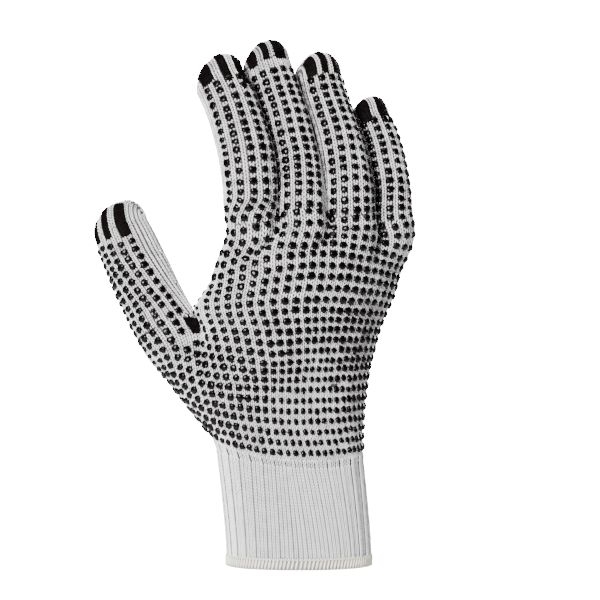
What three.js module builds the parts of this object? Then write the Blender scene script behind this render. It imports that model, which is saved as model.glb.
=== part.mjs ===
import * as THREE from "three";

// A knit work glove in millimetres, worn by nobody and held open: +Z runs up from the
// cuff's mouth, the printed back of the hand faces -Y, the thumb is on the -X side.
// The skin is one map from the knit to space. A place on the knit is (wale, wrap, row):
// wales count across the hand from the thumb's fold to the little finger's fold, rows
// count up from the cuff, and wrap goes from 0 on the front panel to 1 on the back.

// Sizes
const WALL = 1.8;
const GAP = 0.3;
const CUFF_GAP = 0.6;
const PAD_LIFT = 0.55;
const PATCH_LIFT = 1.4;
const PAD_THICK = 0.6;
const CUFF_BOTTOM = 5.4;
const CUFF_HALF_WIDE = 33.8;
const CUFF_HALF_DEEP = 25.5;
const CUFF_SQUARE = 2.3;
const RIBS_PER_PANEL = 17;
const RIB_DEPTH = 1.0;
const HEM_TOP = 5.1;
const HEM_BULGE = 0.9;
const FIRST_ROW = -0.9;

// Folds and forks of the panels, in wales and rows
const THUMB_FOLD = -16;
const INDEX_FOLD = 0;
const MIDDLE_FORK = 11;
const RING_FORK = 22;
const LITTLE_FORK = 34;
const LITTLE_FOLD = 44;
const THUMB_ROW = 13.2;
const FINGER_ROW = 23.5;
const STUB = 0.8;
const FINGER_JOIN = 0.25;
const THUMB_JOIN = 0.12;

const table = (columns, rows) =>
  rows.map((r) => Object.fromEntries(columns.map((c, i) => [c, r[i]])));

// Flat sections: left fold, right fold, how far the middle arches forward, half
// thickness, how far the row's middle rises, and how square the oval is.
const SECTION = ["row", "lx", "ly", "lz", "rx", "ry", "rz", "arch", "half", "bow", "square"];
const BODY = table(SECTION, [
  [-1, -38.5, 0, 55.5, 30, 0, 49.5, 0, 26, -4.5, 2.6],
  [0, -40.5, 0, 60, 30, 0.5, 54, 1, 26, -4.5, 2.6],
  [2, -47.5, 2, 69, 30, 3, 64, 3, 25, -4.5, 2.5],
  [5, -58, 4, 82, 31.5, 8, 79, 8, 23, -3.5, 2.4],
  [8, -67, 6, 93.5, 34, 13, 94, 13, 21, -1.5, 2.3],
  [10, -72.5, 7, 101.5, 36.5, 15, 101.5, 15, 20, -0.5, 2.2],
  [12, -77.5, 7, 110, 38.5, 17, 110.5, 17, 18.5, 0.5, 2.2],
  [14, -82.5, 8, 118.5, 41.5, 18.5, 118, 17, 17, 2, 2.2],
]);
const PALM = table(SECTION, [
  [5, -32, -4, 82, 31.5, 8, 79, 8, 22, -3.5, 2.3],
  [8, -38, -6, 96, 34, 13, 94, 9, 19, -1.5, 2.3],
  [12, -44.5, -8, 112, 38.5, 17, 110.5, 10, 17.5, 1, 2.3],
  [14.5, -48, -8, 121, 42, 19, 120, 11, 17, 3.5, 2.3],
  [16, -46, -8, 126, 45.5, 20, 127, 12, 16.5, 5.5, 2.3],
  [18, -42, -8, 133, 48.5, 21, 137, 12, 16, 7.5, 2.3],
  [20, -39.5, -8, 142, 50.5, 22, 145.5, 12.5, 15.5, 9, 2.3],
  [22, -37, -9, 151, 52.5, 23, 154.5, 12, 15, 9.5, 2.3],
  [24, -35.5, -10, 161, 53.5, 23, 163, 12, 14, 9.5, 2.3],
]);

// Round sections on a centre line: half width, half depth and how far the print turns
// to the right. A dome of the last radius closes each one towards its tip. Slant is how
// many wales the print moves for each radian that it climbs the dome.
const TUBE = ["row", "x", "y", "z", "wide", "deep", "turn"];
const LIMBS = {
  thumb: {
    from: THUMB_FOLD,
    to: INDEX_FOLD,
    pitch: 11,
    tip: [-88.5, 14, 172],
    slant: -0.4,
    dome: 4.4,
    rows: table(TUBE, [
      [5.5, -47, 0, 83, 13.5, 12.5, -8],
      [10, -56.5, 2, 99.5, 14.3, 13.4, -14],
      [13.5, -64, 4, 114, 14.6, 13, -18],
      [17, -70.5, 6, 127, 14.4, 12.6, -20],
      [20, -76.5, 8, 140, 14.1, 12.3, -20],
      [23.5, -82.5, 10, 153, 13.6, 12, -20],
      [25, -85.5, 11, 159.5, 13, 11.6, -20],
    ]),
  },
  index: {
    from: INDEX_FOLD,
    to: MIDDLE_FORK,
    pitch: 14,
    tip: [-39, 9, 241.5],
    slant: -1,
    dome: 4.1,
    rows: table(TUBE, [
      [18, -26, -6, 139, 13, 13, -4],
      [22, -22, -9.5, 155, 11.6, 12, -4],
      [25, -22.8, -11, 170.5, 12.3, 12.3, -2],
      [27, -23, -11.5, 178.5, 12.5, 12.5, -2],
      [29.5, -24.5, -10.5, 192, 12.8, 12.6, -2],
      [32.5, -27.5, -7.5, 204, 12.5, 12.4, -2],
      [34.5, -30.5, -4, 213, 12.2, 12.2, -2],
      [36, -33.5, -0.5, 221, 12.1, 12, -2],
      [38, -37.5, 3, 229, 11.8, 11.7, -2],
    ]),
  },
  middle: {
    from: MIDDLE_FORK,
    to: RING_FORK,
    pitch: 13,
    tip: [-16.5, 20, 250],
    slant: -0.35,
    dome: 4,
    rows: table(TUBE, [
      [18, -2.5, -6, 141, 13, 13, 4],
      [21, 2, -7, 155, 11.6, 12, 8],
      [24, 1, -6, 168.5, 11.6, 12, 12],
      [26, 0.3, -3.5, 177.7, 11.6, 11.8, 14],
      [29, -1.6, 0, 190, 11.6, 11.8, 16],
      [31.5, -4.3, 3.5, 201, 11.5, 11.6, 17],
      [34, -7.2, 7.5, 213, 11.4, 11.5, 17],
      [37, -11, 11.5, 225, 11.3, 11.3, 17],
      [40, -15.4, 16, 238, 11.1, 11.1, 17],
    ]),
  },
  ring: {
    from: RING_FORK,
    to: LITTLE_FORK,
    pitch: 13.4,
    tip: [8.3, 28, 245.5],
    slant: 0,
    dome: 4,
    rows: table(TUBE, [
      [18, 25, 2, 141, 13, 13, 14],
      [21, 26, 1, 155, 11.2, 11.6, 18],
      [24, 24.6, 0.5, 167.5, 11.2, 11.4, 22],
      [26.5, 23.6, 2, 178, 11.4, 11.8, 24],
      [29, 21.6, 6, 189, 11.5, 11.7, 28],
      [31.5, 18.5, 11, 201.5, 11.3, 11.5, 30],
      [34, 15, 15.5, 212.5, 11.2, 11.3, 30],
      [36.5, 11.7, 19.5, 223, 11.1, 11.1, 30],
      [38.5, 9.3, 23, 233, 10.9, 10.9, 30],
    ]),
  },
  little: {
    from: LITTLE_FORK,
    to: LITTLE_FOLD,
    pitch: 16,
    tip: [33, 34, 224],
    slant: 0,
    dome: 3.5,
    rows: table(TUBE, [
      [18, 44, 14, 140, 11, 12, 24],
      [21, 47, 12.5, 153, 9.6, 10, 28],
      [24.5, 44.9, 12.5, 166.5, 9.6, 9.8, 26],
      [27, 44, 15, 176.5, 9.8, 9.9, 23],
      [29.5, 42.2, 19, 188, 9.9, 10, 20],
      [32, 40, 24, 199, 9.9, 9.9, 20],
      [34, 37.2, 27.5, 207.5, 9.8, 9.8, 20],
      [35.3, 34.6, 30, 213.5, 9.8, 9.7, 20],
    ]),
  },
};

// Small vector and curve helpers
const mix = (a, b, t) => a + (b - a) * t;
const mixPoint = (p, q, t) => p.map((a, i) => mix(a, q[i], t));
const addPoint = (p, q, k = 1) => p.map((a, i) => a + k * q[i]);
const lengthOf = (p) => Math.hypot(...p);
const unit = (p) => p.map((a) => a / lengthOf(p));
const cross = (p, q) => [
  p[1] * q[2] - p[2] * q[1],
  p[2] * q[0] - p[0] * q[2],
  p[0] * q[1] - p[1] * q[0],
];
const ease = (from, to, v) => {
  const t = Math.min(1, Math.max(0, (v - from) / (to - from)));
  return t * t * (3 - 2 * t);
};
const span = (a, b, n) => Array.from({ length: n + 1 }, (_, i) => mix(a, b, i / n));
const degrees = (a) => (a * Math.PI) / 180;

// Every column of a table at row v: smooth between its rows, straight beyond them
function along(rows, v) {
  const last = rows.length - 1;
  let i = 0;
  while (i < last - 1 && v > rows[i + 1].row) i++;
  const a = rows[i];
  const b = rows[i + 1];
  const step = b.row - a.row;
  const t = (v - a.row) / step;
  const out = {};
  for (const c of Object.keys(a)) {
    const slope = (j) => {
      const p = rows[Math.max(0, j - 1)];
      const q = rows[Math.min(last, j + 1)];
      return (q[c] - p[c]) / (q.row - p.row);
    };
    const ma = slope(i) * step;
    const mb = slope(i + 1) * step;
    if (t < 0) out[c] = a[c] + ma * t;
    else if (t > 1) out[c] = b[c] + mb * (t - 1);
    else
      out[c] =
        a[c] * (1 + 2 * t) * (1 - t) ** 2 +
        ma * t * (1 - t) ** 2 +
        b[c] * t * t * (3 - 2 * t) +
        mb * t * t * (t - 1);
  }
  return out;
}

// One panel of a flat section as points, with the length walked to each
const SAMPLES = 80;
const panels = new Map();
function panel(rows, v, back) {
  const key = (rows === BODY ? "body" : "palm") + v.toFixed(4) + back;
  if (panels.has(key)) return panels.get(key);
  const s = along(rows, v);
  const points = span(0, Math.PI, SAMPLES).map((a) => {
    const c = Math.cos(a);
    const x = -Math.sign(c) * Math.abs(c) ** (2 / s.square);
    const out = Math.max(0, Math.sin(a)) ** (2 / s.square);
    const rise = 1 - x * x;
    return [
      mix(s.lx, s.rx, (1 + x) / 2),
      mix(s.ly, s.ry, (1 + x) / 2) - s.arch * rise - (back ? -1 : 1) * s.half * out,
      mix(s.lz, s.rz, (1 + x) / 2) + s.bow * rise,
    ];
  });
  const walked = [0];
  for (let i = 1; i < points.length; i++)
    walked.push(walked[i - 1] + lengthOf(addPoint(points[i], points[i - 1], -1)));
  panels.set(key, { points, walked });
  return panels.get(key);
}
function flatPoint(rows, from, to, u, g, v) {
  const { points, walked } = panel(rows, v, g > 0.5);
  const t = Math.min(1, Math.max(0, (u - from) / (to - from)));
  const goal = t * walked[walked.length - 1];
  let i = 0;
  while (i < walked.length - 2 && walked[i + 1] < goal) i++;
  return mixPoint(points[i], points[i + 1], (goal - walked[i]) / (walked[i + 1] - walked[i]));
}

// A round limb at one of its rows: sizes, axes and the angle of a wale
const topOf = (limb) => limb.rows[limb.rows.length - 1].row;
function tubeFrame(limb, u, g, v) {
  const top = topOf(limb);
  const s = along(limb.rows, Math.min(v, top));
  const before = along(limb.rows, Math.min(v, top) - 0.5);
  const after = along(limb.rows, Math.min(v + 0.5, top));
  const axis = unit([after.x - before.x, after.y - before.y, after.z - before.z]);
  const right = unit(addPoint([1, 0, 0], axis, -axis[0]));
  const front = cross(right, axis);
  const middle = (limb.from + limb.to) / 2;
  const turned = (u - middle) * limb.pitch;
  const wrapped = u > middle ? 180 - turned : -180 - turned;
  return { s, right, front, angle: degrees(s.turn + mix(turned, wrapped, g)) };
}
// Its own rows below the dome, then the dome's circles up to the tip
function tubePoint(limb, u, g, v) {
  const { s, right, front, angle } = tubeFrame(limb, u, g, v);
  const rise = Math.min(1, Math.max(0, (v - topOf(limb)) / limb.dome)) * (Math.PI / 2);
  const centre = mixPoint([s.x, s.y, s.z], limb.tip, Math.sin(rise));
  const shrink = Math.cos(rise);
  return addPoint(
    addPoint(centre, right, s.wide * shrink * Math.sin(angle)),
    front,
    s.deep * shrink * Math.cos(angle),
  );
}

// Where one sleeve of knit forks into several: below the fork the limbs melt into the
// sleeve, at the fork a web joins front to back between neighbours, and above it each
// limb eases from that rim to its own shape.
function forked({ sleeve, limbs, start, row, blend, fade, rise }) {
  const shared = (u, g, v) => {
    const base = sleeve(u, g, v);
    const w = ease(start, row, v);
    if (w === 0) return base;
    const i = Math.max(0, limbs.findIndex((l) => u <= l.to));
    let own = limbs[i].at(u, g, v);
    for (const j of [i - 1, i + 1]) {
      if (!limbs[j]) continue;
      const edge = j < i ? limbs[i].from : limbs[i].to;
      const share = 0.5 * (1 - ease(0, blend, Math.abs(u - edge)));
      if (share > 0) own = mixPoint(own, limbs[j].at(u, g, v), share);
    }
    return mixPoint(base, own, w);
  };
  const inner = (u) => limbs.slice(1).some((l) => Math.abs(l.from - u) < 1e-6);
  const rim = (u, g) => {
    if (g === 0 || g === 1 || !inner(u)) return shared(u, g, row);
    const front = shared(u, 0, row);
    const back = shared(u, 1, row);
    const high = rise * lengthOf(addPoint(back, front, -1));
    return addPoint(mixPoint(front, back, g), [0, 0, high * 4 * g * (1 - g)]);
  };
  const branch = (i) => (u, g, v) => {
    const own = limbs[i].at(u, g, v);
    const left = Math.max(0, 1 - (v - row) / fade) ** 2;
    if (left === 0) return own;
    return addPoint(own, addPoint(rim(u, g), limbs[i].at(u, g, row), -1), left);
  };
  return { shared, branches: limbs.map((_, i) => branch(i)) };
}

const limbAt = (name) => (u, g, v) => tubePoint(LIMBS[name], u, g, v);
const FINGERS = ["index", "middle", "ring", "little"];
const hand = forked({
  sleeve: (u, g, v) => flatPoint(PALM, INDEX_FOLD, LITTLE_FOLD, u, g, v),
  limbs: FINGERS.map((n) => ({ from: LIMBS[n].from, to: LIMBS[n].to, at: limbAt(n) })),
  start: 18,
  row: FINGER_ROW,
  blend: 2.5,
  fade: 4.5,
  rise: 0.7,
});
const whole = forked({
  sleeve: (u, g, v) => flatPoint(BODY, THUMB_FOLD, LITTLE_FOLD, u, g, v),
  limbs: [
    { from: THUMB_FOLD, to: INDEX_FOLD, at: limbAt("thumb") },
    { from: INDEX_FOLD, to: LITTLE_FOLD, at: hand.shared },
  ],
  start: 6,
  row: THUMB_ROW,
  blend: 3,
  fade: 4,
  rise: 0.2,
});
const lowerHand = whole.shared;
const palmUp = whole.branches[1];
const limbPoint = (name) =>
  name === "thumb" ? whole.branches[0] : hand.branches[FINGERS.indexOf(name)];

// The print on a tip lies as on flat knitting: its wales run side by side over the dome
// to the line where front and back close. Rise is the angle climbed on the dome, and
// below 0 it goes on down the limb.
const RISE_PER_ROW = 0.36;
const tipPoint = (name) => (u, g, rise) => {
  const limb = LIMBS[name];
  if (rise <= 0) return limbPoint(name)(u, g, topOf(limb) + rise / RISE_PER_ROW);
  const { s, right, front, angle } = tubeFrame(limb, u + limb.slant * rise, g, topOf(limb));
  const turn = degrees(s.turn);
  const x = s.wide * Math.sin(angle);
  const y = s.deep * Math.cos(angle);
  const sideways = x * Math.cos(turn) - y * Math.sin(turn);
  const forwards = x * Math.sin(turn) + y * Math.cos(turn);
  const reach = s.wide * Math.sin(turn) ** 2 + s.deep * Math.cos(turn) ** 2;
  const flat = forwards * Math.cos(rise);
  const centre = mixPoint([s.x, s.y, s.z], limb.tip, (Math.abs(forwards) / reach) * Math.sin(rise));
  const across = addPoint(centre, right, sideways * Math.cos(turn) + flat * Math.sin(turn));
  return addPoint(across, front, flat * Math.cos(turn) - sideways * Math.sin(turn));
};

// A skin of quads with shared corners, closed into a wall by an inner copy of itself
class Skin {
  constructor() {
    this.points = [];
    this.faces = [];
    this.known = new Map();
  }
  corner(p) {
    const key = p.map((a) => Math.round(a * 500)).join();
    if (!this.known.has(key)) {
      this.known.set(key, this.points.length);
      this.points.push(p);
    }
    return this.known.get(key);
  }
  face(a, b, c) {
    if (a !== b && b !== c && c !== a) this.faces.push([a, b, c]);
  }
  quad(a, b, c, d) {
    this.face(a, b, c);
    this.face(a, c, d);
  }
  grid(lines, closed) {
    const ids = lines.map((line) => line.map((p) => this.corner(p)));
    for (let j = 0; j + 1 < ids.length; j++)
      for (let i = 0; i + (closed ? 0 : 1) < ids[j].length; i++) {
        const k = (i + 1) % ids[j].length;
        this.quad(ids[j][i], ids[j][k], ids[j + 1][k], ids[j + 1][i]);
      }
  }
  normals() {
    const sums = this.points.map(() => [0, 0, 0]);
    for (const [a, b, c] of this.faces) {
      const n = cross(
        addPoint(this.points[b], this.points[a], -1),
        addPoint(this.points[c], this.points[a], -1),
      );
      for (const i of [a, b, c]) sums[i] = addPoint(sums[i], n);
    }
    return sums.map(unit);
  }
  wall(inward, outward = 0) {
    const n = this.normals();
    const count = this.points.length;
    const outer = this.points.map((p, i) => addPoint(p, n[i], outward));
    const inner = this.points.map((p, i) => addPoint(p, n[i], -inward));
    const faces = [...this.faces];
    for (const [a, b, c] of this.faces) faces.push([a + count, c + count, b + count]);
    const edges = new Set(this.faces.flatMap(([a, b, c]) => [`${a},${b}`, `${b},${c}`, `${c},${a}`]));
    for (const e of edges) {
      const [a, b] = e.split(",").map(Number);
      if (edges.has(`${b},${a}`)) continue;
      faces.push([b, a, a + count], [b, a + count, b + count]);
    }
    const g = new THREE.BufferGeometry();
    g.setAttribute("position", new THREE.Float32BufferAttribute([...outer, ...inner].flat(), 3));
    g.setIndex(faces.flat());
    return g;
  }
}

// Corners around a sleeve or limb at one row: front panel, side, back panel, side
function around(stops, cells, sides) {
  const wales = stops.slice(1).flatMap((s, i) => span(stops[i], s, cells[i]).slice(i ? 1 : 0));
  const first = wales[0];
  const last = wales[wales.length - 1];
  return [
    ...wales.map((u) => [u, 0]),
    ...span(0, 1, sides).slice(1, -1).map((g) => [last, g]),
    ...wales.toReversed().map((u) => [u, 1]),
    ...span(1, 0, sides).slice(1, -1).map((g) => [first, g]),
  ];
}
const line = (ring, at, v) => ring.map(([u, g]) => at(u, g, v));
const SIDES = 2;
const THUMB_RING = around([THUMB_FOLD, INDEX_FOLD], [8], SIDES);
const FINGER_CELLS = { index: 6, middle: 6, ring: 6, little: 5 };
const ringOf = (name) =>
  name === "thumb"
    ? THUMB_RING
    : around([LIMBS[name].from, LIMBS[name].to], [FINGER_CELLS[name]], SIDES);
const FORKS = [INDEX_FOLD, MIDDLE_FORK, RING_FORK, LITTLE_FORK, LITTLE_FOLD];
const PALM_RING = around(FORKS, [6, 6, 6, 5], SIDES);
const BODY_RING = around([THUMB_FOLD, ...FORKS], [8, 6, 6, 6, 5], SIDES);

function handBody() {
  const skin = new Skin();
  skin.grid(
    [FIRST_ROW, 1, 3.2, 5.5, 7.7, 9.6, 10.9, 12.1, THUMB_ROW].map((v) => line(BODY_RING, lowerHand, v)),
    true,
  );
  skin.grid([THUMB_ROW, THUMB_ROW + STUB].map((v) => line(THUMB_RING, limbPoint("thumb"), v)), true);
  skin.grid(span(THUMB_ROW, FINGER_ROW, 7).map((v) => line(PALM_RING, palmUp, v)), true);
  for (const name of FINGERS)
    skin.grid(
      [FINGER_ROW, FINGER_ROW + STUB].map((v) => line(ringOf(name), limbPoint(name), v)),
      true,
    );
  return skin.wall(WALL);
}

function limb(name, steps) {
  const skin = new Skin();
  const { rows, dome } = LIMBS[name];
  const at = limbPoint(name);
  const foot = (name === "thumb" ? THUMB_ROW : FINGER_ROW) + STUB;
  const join = name === "thumb" ? THUMB_JOIN : FINGER_JOIN;
  const top = rows[rows.length - 1].row;
  const a = along(rows, foot);
  const b = along(rows, foot + 1);
  const up = unit([b.x - a.x, b.y - a.y, b.z - a.z]);
  const levels = [foot + join, ...span(foot + 3 * join, top, steps), ...[0.3, 0.6, 0.82, 1].map((t) => top + t * dome)];
  const ring = ringOf(name);
  skin.grid(
    levels.map((v, j) => line(ring, at, v).map((p) => (j ? p : addPoint(p, up, GAP)))),
    true,
  );
  return skin.wall(WALL);
}

// The cuff runs from a plain oval at the hem to the hand's lowest row
function cuffPoint(turn, height) {
  const back = turn >= 1;
  const t = back ? 2 - turn : turn;
  const a = Math.PI * t;
  const c = Math.cos(a);
  const x = -Math.sign(c) * Math.abs(c) ** (2 / CUFF_SQUARE);
  const out = Math.max(0, Math.sin(a)) ** (2 / CUFF_SQUARE);
  const foot = [CUFF_HALF_WIDE * x, (back ? 1 : -1) * CUFF_HALF_DEEP * out, 0];
  const u = mix(THUMB_FOLD, LITTLE_FOLD, t);
  const head = addPoint(lowerHand(u, back ? 1 : 0, FIRST_ROW), [0, 0, -CUFF_GAP]);
  const k = height ** 1.3;
  return [mix(foot[0], head[0], k), mix(foot[1], head[1], k), mix(CUFF_BOTTOM, head[2], height)];
}
function outwards(p, k) {
  const n = Math.hypot(p[0], p[1]);
  return [p[0] + (k * p[0]) / n, p[1] + (k * p[1]) / n, p[2]];
}
const RIB_SHAPE = [0, -0.25, -1];
function ribCuff() {
  const skin = new Skin();
  const count = 2 * RIBS_PER_PANEL * RIB_SHAPE.length;
  skin.grid(
    [0, 0.25, 0.6, 1].map((h) =>
      Array.from({ length: count }, (_, i) => {
        const rib = RIB_SHAPE[i % RIB_SHAPE.length] * RIB_DEPTH * (h === 1 ? 0.4 : 1);
        return outwards(cuffPoint((2 * i) / count, h), rib);
      }),
    ),
    true,
  );
  return skin.wall(WALL);
}
const HEM_SHAPE = [
  [0, 0.1],
  [0.25, 0.75],
  [0.75, 1],
  [1, 0.3],
];
function cuffHem() {
  const skin = new Skin();
  const count = 4 * RIBS_PER_PANEL;
  skin.grid(
    HEM_SHAPE.map(([h, k]) =>
      Array.from({ length: count }, (_, i) => {
        const p = outwards(cuffPoint((2 * i) / count, 0), HEM_BULGE * k - 0.4);
        return [p[0], p[1], HEM_TOP * h];
      }),
    ),
    true,
  );
  return skin.wall(2.2);
}

// A raised print: a soft-cornered patch of the skin lifted clear of the knit
function pad(at, g, u0, u1, v0, v1, taper, [across, up], lift) {
  const skin = new Skin();
  const lines = span(-1, 1, up).map((b) =>
    span(-1, 1, across).map((a) => {
      const narrow = mix(1 - taper, 1, (b + 1) / 2);
      const u = mix(u0, u1, 0.5 + 0.5 * a * narrow * (1 - 0.14 * b * b));
      const v = mix(v0, v1, 0.5 + 0.5 * b * (1 - 0.14 * a * a));
      return at(u, g, v);
    }),
  );
  skin.grid(g ? lines.toReversed() : lines, false);
  return skin.wall(-lift, lift + PAD_THICK);
}
// Each bar: first and last wale, then how low and how high it reaches in rise
const BARS = table(
  ["limb", "from", "to", "low", "high"],
  [
    ["index", 1.9, 4.4, -0.25, 1.2],
    ["index", 5.8, 7.2, -0.47, 1.25],
    ["index", 8.5, 10.9, -0.65, 1],
    ["middle", 11.2, 13.4, -0.17, 1.2],
    ["middle", 14.5, 15.8, -0.08, 1.25],
    ["middle", 16.7, 19.3, -0.12, 1.1],
    ["ring", 23.4, 25.5, -0.18, 1.1],
    ["ring", 26.5, 27.7, -0.15, 1.2],
    ["ring", 28.7, 31.6, -0.12, 1.1],
    ["little", 35.4, 37.8, -0.33, 1.05],
    ["little", 39, 41.3, -0.5, 1],
    ["thumb", -13.2, -11.1, -0.22, 1.05],
    ["thumb", -9.7, -8.2, -0.29, 1.2],
    ["thumb", -6.8, -4.6, -0.47, 1.1],
  ],
);
const BAR_CELLS = [2, 5];
const PATCH_CELLS = [3, 3];
const PLACE = ["left", "middle", "right"];

const glove = new THREE.Group();
glove.name = "dotted_knit_glove";
const knit = new THREE.MeshStandardMaterial({ color: 0xd9d4cf, roughness: 0.9 });
const cotton = new THREE.MeshStandardMaterial({ color: 0xe3e2de, roughness: 0.9 });
const cream = new THREE.MeshStandardMaterial({ color: 0xddd6bf, roughness: 0.9 });
const print = new THREE.MeshStandardMaterial({ color: 0x1c1b1b, roughness: 0.4 });
function piece(name, geometry, material) {
  geometry.computeVertexNormals();
  const mesh = new THREE.Mesh(geometry, material);
  mesh.name = name;
  glove.add(mesh);
}
piece("hand_body", handBody(), knit);
piece("thumb", limb("thumb", 6), knit);
for (const name of FINGERS) piece(name + "_finger", limb(name, name === "little" ? 6 : 8), knit);
piece("rib_cuff", ribCuff(), cotton);
piece("cuff_hem", cuffHem(), cream);
for (const [g, side] of [
  [0, "front"],
  [1, "back"],
]) {
  const seen = {};
  for (const b of BARS) {
    seen[b.limb] = (seen[b.limb] ?? -1) + 1;
    const place = PLACE[b.limb === "little" ? 2 * seen[b.limb] : seen[b.limb]];
    piece(
      `${b.limb}_bar_${place}_${side}`,
      pad(tipPoint(b.limb), g, b.from, b.to, b.low, b.high, 0, BAR_CELLS, PAD_LIFT),
      print,
    );
  }
  const patch = pad(lowerHand, g, -3.2, 0, 11.2, 12.9, 0.5, PATCH_CELLS, PATCH_LIFT);
  piece(`crotch_patch_${side}`, patch, print);
}
export default glove;
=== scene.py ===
# A knitted work glove with gripping dots, standing open in the form of a worn hand.
# The cloth follows one map from the knit to space: wale across, wrap from the front
# panel (0) to the back panel (1), and row up from the cuff. Lengths in the tables are mm.
import itertools
import math

import bmesh
import bpy
import numpy as np
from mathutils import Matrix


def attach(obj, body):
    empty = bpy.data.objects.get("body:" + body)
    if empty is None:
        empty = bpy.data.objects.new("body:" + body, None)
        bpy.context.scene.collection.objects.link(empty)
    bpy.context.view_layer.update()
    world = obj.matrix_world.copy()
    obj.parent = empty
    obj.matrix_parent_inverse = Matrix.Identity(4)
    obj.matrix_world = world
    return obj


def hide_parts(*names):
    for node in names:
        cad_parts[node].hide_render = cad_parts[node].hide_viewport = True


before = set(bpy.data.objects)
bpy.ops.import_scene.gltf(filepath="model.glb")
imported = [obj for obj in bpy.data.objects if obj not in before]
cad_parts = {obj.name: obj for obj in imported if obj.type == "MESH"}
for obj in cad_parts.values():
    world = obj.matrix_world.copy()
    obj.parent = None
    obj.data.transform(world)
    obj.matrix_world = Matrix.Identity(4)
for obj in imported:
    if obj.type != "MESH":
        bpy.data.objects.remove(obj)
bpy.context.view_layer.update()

MM = 0.001
seeded = np.random.default_rng(23)

# Camera
PICTURE_WIDTH_AT_ONE_METRE = 0.2856
SENSOR_WIDTH = 36
camera = bpy.data.objects.new("camera", bpy.data.cameras.new("camera"))
camera.location = (0.0005, -1.0, 0.1257)
camera.rotation_euler = (math.radians(90), 0, 0)
camera.data.sensor_width = SENSOR_WIDTH
camera.data.lens = SENSOR_WIDTH / PICTURE_WIDTH_AT_ONE_METRE
bpy.context.scene.collection.objects.link(camera)
bpy.context.scene.camera = camera

# Form of the glove
THUMB_FOLD, INDEX_FOLD, MIDDLE_FORK, RING_FORK, LITTLE_FORK, LITTLE_FOLD = -16, 0, 11, 22, 34, 44
FIRST_ROW, THUMB_ROW, FINGER_ROW, STUB = -0.9, 13.2, 23.5, 0.8
CUFF_BOTTOM, CUFF_HALF_WIDE, CUFF_HALF_DEEP, CUFF_SQUARE = 5.4, 33.8, 25.5, 2.3
CUFF_RISE = 1.3  # how late the oval foot gives way to the hand's own section
RIBS_PER_PANEL, CUFF_GAP = 17, 0.6

# Flat sections: row, left fold x y z, right fold x y z, forward arch, half thickness,
# rise of the row's middle, squareness of the oval
BODY = np.array([
    [-1, -38.5, 0, 55.5, 30, 0, 49.5, 0, 26, -4.5, 2.6],
    [0, -40.5, 0, 60, 30, 0.5, 54, 1, 26, -4.5, 2.6],
    [2, -47.5, 2, 69, 30, 3, 64, 3, 25, -4.5, 2.5],
    [5, -58, 4, 82, 31.5, 8, 79, 8, 23, -3.5, 2.4],
    [8, -67, 6, 93.5, 34, 13, 94, 13, 21, -1.5, 2.3],
    [10, -72.5, 7, 101.5, 36.5, 15, 101.5, 15, 20, -0.5, 2.2],
    [12, -77.5, 7, 110, 38.5, 17, 110.5, 17, 18.5, 0.5, 2.2],
    [14, -82.5, 8, 118.5, 41.5, 18.5, 118, 17, 17, 2, 2.2],
])
PALM = np.array([
    [5, -32, -4, 82, 31.5, 8, 79, 8, 22, -3.5, 2.3],
    [8, -38, -6, 96, 34, 13, 94, 9, 19, -1.5, 2.3],
    [12, -44.5, -8, 112, 38.5, 17, 110.5, 10, 17.5, 1, 2.3],
    [14.5, -48, -8, 121, 42, 19, 120, 11, 17, 3.5, 2.3],
    [16, -46, -8, 126, 45.5, 20, 127, 12, 16.5, 5.5, 2.3],
    [18, -42, -8, 133, 48.5, 21, 137, 12, 16, 7.5, 2.3],
    [20, -39.5, -8, 142, 50.5, 22, 145.5, 12.5, 15.5, 9, 2.3],
    [22, -37, -9, 151, 52.5, 23, 154.5, 12, 15, 9.5, 2.3],
    [24, -35.5, -10, 161, 53.5, 23, 163, 12, 14, 9.5, 2.3],
])


class Limb:
    """A round stall of knit. Its rows hold row, centre x y z, half width, half depth
    and how far the print turns to the right in degrees; a dome closes it at the tip,
    and slant is how many wales the print moves for each radian climbed on the dome."""

    def __init__(self, first, last, pitch, slant, tip, dome, rows):
        self.first, self.last, self.pitch, self.slant, self.dome = first, last, pitch, slant, dome
        self.tip = np.array(tip, float)
        self.rows = np.array(rows, float)
        self.top = self.rows[-1, 0]
        self.half_wide, self.half_deep = self.rows[-1, 4:6]


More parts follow.
